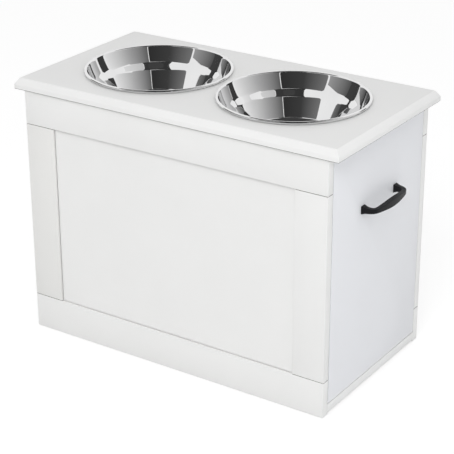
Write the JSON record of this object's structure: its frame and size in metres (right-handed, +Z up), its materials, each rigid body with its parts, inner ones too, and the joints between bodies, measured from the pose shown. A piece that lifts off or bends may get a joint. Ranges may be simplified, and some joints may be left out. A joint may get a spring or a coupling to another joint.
{
  "type": "elevated dog feeder with storage",
  "caption": "White panelled feeding cabinet with a bevelled top board, steel bowls dropped into round holes, and a deep drawer with a black bow handle in its end.",
  "frame": {"origin": "on the floor, at the middle of the bounding box's base, handle included", "axes": "+X along the length towards the drawer end, +Y from the front long face to the back one, +Z up"},
  "size_m": [0.61, 0.32, 0.4475],
  "materials": {
    "white_board": "satin white lacquer on fibreboard",
    "bare_wood": "planed, unfinished",
    "polished_steel": "mirror-polished stainless steel",
    "zinc_steel": "bright zinc plate",
    "black_metal": "satin black powder coat",
    "black_plastic": "moulded",
    "clear_rubber": "clear, soft"
  },
  "bodies": {
    "cabinet": {"top_board": "white_board", "front_top_rail": "white_board", "front_bottom_rail": "white_board", "front_left_stile": "white_board", "front_right_stile": "white_board", "front_panel": "white_board", "back_top_rail": "white_board", "back_bottom_rail": "white_board", "back_left_stile": "white_board", "back_right_stile": "white_board", "back_panel": "white_board", "left_end_panel": "white_board", "base_board": "white_board", "cross_rail": "white_board", "front_cleat": "bare_wood", "back_cleat": "bare_wood", "front_dowels": "bare_wood", "back_dowels": "bare_wood", "cabinet_cams": "zinc_steel", "cabinet_cam_bolts": "zinc_steel", "cleat_screws": "zinc_steel", "top_screws": "zinc_steel", "front_runner": "zinc_steel", "back_runner": "zinc_steel", "front_runner_screws": "zinc_steel", "back_runner_screws": "zinc_steel", "runner_stops": "black_plastic", "bumper_pads": "clear_rubber"},
    "drawer": {"drawer_front": "white_board", "drawer_front_side": "white_board", "drawer_back_side": "white_board", "drawer_rear": "white_board", "drawer_bottom": "white_board", "front_slide": "zinc_steel", "back_slide": "zinc_steel", "front_slide_screws": "zinc_steel", "back_slide_screws": "zinc_steel", "drawer_cams": "zinc_steel", "drawer_cam_bolts": "zinc_steel", "drawer_rear_screws": "zinc_steel", "handle": "black_metal", "handle_screws": "zinc_steel"},
    "front_ball_strip": {"front_cage": "zinc_steel", "front_balls": "polished_steel"},
    "back_ball_strip": {"back_cage": "zinc_steel", "back_balls": "polished_steel"},
    "left_bowl": {"bowl_left": "polished_steel"},
    "right_bowl": {"bowl_right": "polished_steel"}
  },
  "joints": [
    {"name": "drawer_slide", "type": "slide", "parent": "cabinet", "child": "drawer", "axis": [1, 0, 0], "range_m": [0, 0.375]},
    {"name": "front_ball_strip_slide", "type": "slide", "parent": "cabinet", "child": "front_ball_strip", "axis": [1, 0, 0], "range_m": [0, 0.1875]},
    {"name": "back_ball_strip_slide", "type": "slide", "parent": "cabinet", "child": "back_ball_strip", "axis": [1, 0, 0], "range_m": [0, 0.1875]},
    {"name": "left_bowl_lift", "type": "slide", "parent": "cabinet", "child": "left_bowl", "axis": [0, 0, 1], "range_m": [0, 0.1]},
    {"name": "right_bowl_lift", "type": "slide", "parent": "cabinet", "child": "right_bowl", "axis": [0, 0, 1], "range_m": [0, 0.1]}
  ],
  "couplings": [
    {"joint": "front_ball_strip_slide", "follows": "drawer_slide", "ratio": 0.5},
    {"joint": "back_ball_strip_slide", "follows": "drawer_slide", "ratio": 0.5}
  ]
}
